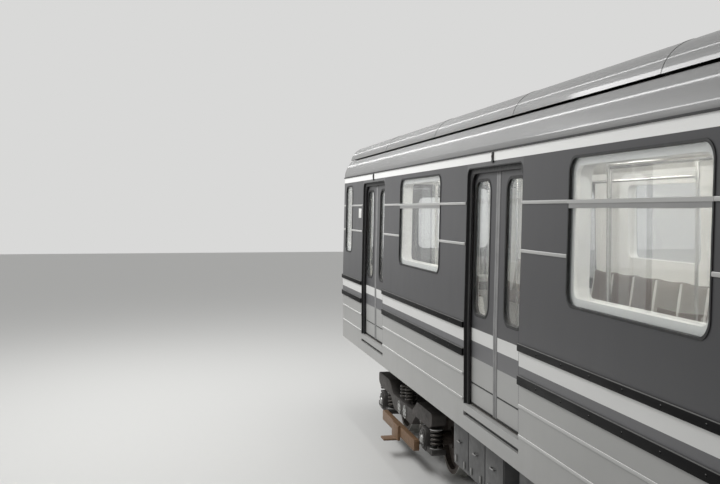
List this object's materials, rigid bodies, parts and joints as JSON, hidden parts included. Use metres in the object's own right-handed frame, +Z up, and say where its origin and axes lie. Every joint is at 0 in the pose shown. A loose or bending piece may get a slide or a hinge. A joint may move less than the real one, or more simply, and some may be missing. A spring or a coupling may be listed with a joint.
{
  "type": "metro car",
  "caption": "Four-axle metro car with sliding double doors, ribbed sides, arched roof with a ventilation shroud, bogies and automatic couplers.",
  "frame": {"origin": "under the middle of the car, at the lowest points of the wheel flanges", "axes": "+X along the car towards its front end, +Y to the left side, +Z up"},
  "size_m": [19.166, 2.712, 3.7358],
  "materials": {
    "body_paint": "satin enamel, pale panels below the waist",
    "white_paint": "satin white enamel",
    "door_paint": "satin enamel as the body",
    "roof_paint": "satin pale grey enamel",
    "chassis_paint": "matt dark grey paint",
    "bogie_paint": "matt dark grey paint",
    "cast_steel": "rough casting",
    "spring_steel": "dark wound bar",
    "wheel_steel": "turned steel, bright at the tread",
    "shoe_beam": "laminated insulating beam",
    "sill_metal": "scuffed plain metal",
    "strip_metal": "dark enamel, bright at the top edge",
    "rail_metal": "polished tube",
    "black_rubber": "matt black rubber",
    "window_glass": "clear toughened glass",
    "lining": "pale laminate",
    "floor_covering": "worn sheet flooring",
    "light_cover": "white diffuser",
    "seat_cover": "padded vinyl"
  },
  "bodies": {
    "car_body": {"underframe": "chassis_paint", "floor_panel": "floor_covering", "side_wall_left": "body_paint", "side_wall_right": "body_paint", "end_wall_front": "body_paint", "end_wall_rear": "body_paint", "cantrail": "white_paint", "door_sills": "sill_metal", "door_headers": "black_rubber", "window_frames": "black_rubber", "window_glass": "window_glass", "side_lining_left": "lining", "side_lining_right": "lining", "roof": "roof_paint", "roof_shroud": "roof_paint", "ceiling": "lining", "ceiling_lights": "light_cover", "side_ribs": "strip_metal", "seats": "seat_cover", "seat_plinths": "lining", "handrails": "rail_metal", "poles": "rail_metal", "cross_members": "chassis_paint", "underfloor_equipment": "chassis_paint"},
    "bogie_front": {"bogie_frame_front": "bogie_paint", "axleboxes_front": "cast_steel", "springs_front": "spring_steel", "traction_motors_front": "cast_steel", "collector_gear_front": "shoe_beam", "brake_units_front": "cast_steel"},
    "bogie_rear": {"bogie_frame_rear": "bogie_paint", "axleboxes_rear": "cast_steel", "springs_rear": "spring_steel", "traction_motors_rear": "cast_steel", "collector_gear_rear": "shoe_beam", "brake_units_rear": "cast_steel"},
    "wheels_1": {"wheelset_1": "wheel_steel"},
    "wheels_2": {"wheelset_2": "wheel_steel"},
    "wheels_3": {"wheelset_3": "wheel_steel"},
    "wheels_4": {"wheelset_4": "wheel_steel"},
    "door_right_1_front": {"door_right_1_front": "door_paint"},
    "door_right_1_rear": {"door_right_1_rear": "door_paint"},
    "door_right_2_front": {"door_right_2_front": "door_paint"},
    "door_right_2_rear": {"door_right_2_rear": "door_paint"},
    "door_right_3_front": {"door_right_3_front": "door_paint"},
    "door_right_3_rear": {"door_right_3_rear": "door_paint"},
    "door_right_4_front": {"door_right_4_front": "door_paint"},
    "door_right_4_rear": {"door_right_4_rear": "door_paint"},
    "door_left_1_front": {"door_left_1_front": "door_paint"},
    "door_left_1_rear": {"door_left_1_rear": "door_paint"},
    "door_left_2_front": {"door_left_2_front": "door_paint"},
    "door_left_2_rear": {"door_left_2_rear": "door_paint"},
    "door_left_3_front": {"door_left_3_front": "door_paint"},
    "door_left_3_rear": {"door_left_3_rear": "door_paint"},
    "door_left_4_front": {"door_left_4_front": "door_paint"},
    "door_left_4_rear": {"door_left_4_rear": "door_paint"},
    "end_door_front": {"end_door_front": "door_paint"},
    "coupler_front": {"coupler_front": "cast_steel"},
    "end_door_rear": {"end_door_rear": "door_paint"},
    "coupler_rear": {"coupler_rear": "cast_steel"}
  },
  "joints": [
    {"name": "bogie_front_turn", "type": "hinge", "parent": "car_body", "child": "bogie_front", "pos_m": [6.3, 0, 0.935], "axis": [0, 0, 1], "range_deg": [-6, 6]},
    {"name": "bogie_rear_turn", "type": "hinge", "parent": "car_body", "child": "bogie_rear", "pos_m": [-6.3, 0, 0.935], "axis": [0, 0, 1], "range_deg": [-6, 6]},
    {"name": "wheels_1_roll", "type": "hinge", "parent": "bogie_front", "child": "wheels_1", "pos_m": [7.35, 0, 0.418], "axis": [0, 1, 0], "continuous": true},
    {"name": "wheels_2_roll", "type": "hinge", "parent": "bogie_front", "child": "wheels_2", "pos_m": [5.25, 0, 0.418], "axis": [0, 1, 0], "continuous": true},
    {"name": "wheels_3_roll", "type": "hinge", "parent": "bogie_rear", "child": "wheels_3", "pos_m": [-5.25, 0, 0.418], "axis": [0, 1, 0], "continuous": true},
    {"name": "wheels_4_roll", "type": "hinge", "parent": "bogie_rear", "child": "wheels_4", "pos_m": [-7.35, 0, 0.418], "axis": [0, 1, 0], "continuous": true},
    {"name": "door_right_1_front_slide", "type": "slide", "parent": "car_body", "child": "door_right_1_front", "axis": [1, 0, 0], "range_m": [0, 0.59]},
    {"name": "door_right_1_rear_slide", "type": "slide", "parent": "car_body", "child": "door_right_1_rear", "axis": [-1, 0, 0], "range_m": [0, 0.59]},
    {"name": "door_right_2_front_slide", "type": "slide", "parent": "car_body", "child": "door_right_2_front", "axis": [1, 0, 0], "range_m": [0, 0.59]},
    {"name": "door_right_2_rear_slide", "type": "slide", "parent": "car_body", "child": "door_right_2_rear", "axis": [-1, 0, 0], "range_m": [0, 0.59]},
    {"name": "door_right_3_front_slide", "type": "slide", "parent": "car_body", "child": "door_right_3_front", "axis": [1, 0, 0], "range_m": [0, 0.59]},
    {"name": "door_right_3_rear_slide", "type": "slide", "parent": "car_body", "child": "door_right_3_rear", "axis": [-1, 0, 0], "range_m": [0, 0.59]},
    {"name": "door_right_4_front_slide", "type": "slide", "parent": "car_body", "child": "door_right_4_front", "axis": [1, 0, 0], "range_m": [0, 0.59]},
    {"name": "door_right_4_rear_slide", "type": "slide", "parent": "car_body", "child": "door_right_4_rear", "axis": [-1, 0, 0], "range_m": [0, 0.59]},
    {"name": "door_left_1_front_slide", "type": "slide", "parent": "car_body", "child": "door_left_1_front", "axis": [1, 0, 0], "range_m": [0, 0.59]},
    {"name": "door_left_1_rear_slide", "type": "slide", "parent": "car_body", "child": "door_left_1_rear", "axis": [-1, 0, 0], "range_m": [0, 0.59]},
    {"name": "door_left_2_front_slide", "type": "slide", "parent": "car_body", "child": "door_left_2_front", "axis": [1, 0, 0], "range_m": [0, 0.59]},
    {"name": "door_left_2_rear_slide", "type": "slide", "parent": "car_body", "child": "door_left_2_rear", "axis": [-1, 0, 0], "range_m": [0, 0.59]},
    {"name": "door_left_3_front_slide", "type": "slide", "parent": "car_body", "child": "door_left_3_front", "axis": [1, 0, 0], "range_m": [0, 0.59]},
    {"name": "door_left_3_rear_slide", "type": "slide", "parent": "car_body", "child": "door_left_3_rear", "axis": [-1, 0, 0], "range_m": [0, 0.59]},
    {"name": "door_left_4_front_slide", "type": "slide", "parent": "car_body", "child": "door_left_4_front", "axis": [1, 0, 0], "range_m": [0, 0.59]},
    {"name": "door_left_4_rear_slide", "type": "slide", "parent": "car_body", "child": "door_left_4_rear", "axis": [-1, 0, 0], "range_m": [0, 0.59]},
    {"name": "end_door_front_swing", "type": "hinge", "parent": "car_body", "child": "end_door_front", "pos_m": [9.285, 0.314, 1.9], "axis": [0, 0, -1], "range_deg": [0, 90]},
    {"name": "coupler_front_swing", "type": "hinge", "parent": "car_body", "child": "coupler_front", "pos_m": [8.45, 0, 0.856], "axis": [0, 0, 1], "range_deg": [-15, 15]},
    {"name": "end_door_rear_swing", "type": "hinge", "parent": "car_body", "child": "end_door_rear", "pos_m": [-9.285, -0.314, 1.9], "axis": [0, 0, -1], "range_deg": [0, 90]},
    {"name": "coupler_rear_swing", "type": "hinge", "parent": "car_body", "child": "coupler_rear", "pos_m": [-8.45, 0, 0.856], "axis": [0, 0, 1], "range_deg": [-15, 15]}
  ],
  "couplings": [
    {"joint": "door_right_1_rear_slide", "follows": "door_right_1_front_slide", "ratio": 1},
    {"joint": "door_right_2_rear_slide", "follows": "door_right_2_front_slide", "ratio": 1},
    {"joint": "door_right_3_rear_slide", "follows": "door_right_3_front_slide", "ratio": 1},
    {"joint": "door_right_4_rear_slide", "follows": "door_right_4_front_slide", "ratio": 1},
    {"joint": "door_left_1_rear_slide", "follows": "door_left_1_front_slide", "ratio": 1},
    {"joint": "door_left_2_rear_slide", "follows": "door_left_2_front_slide", "ratio": 1},
    {"joint": "door_left_3_rear_slide", "follows": "door_left_3_front_slide", "ratio": 1},
    {"joint": "door_left_4_rear_slide", "follows": "door_left_4_front_slide", "ratio": 1}
  ]
}
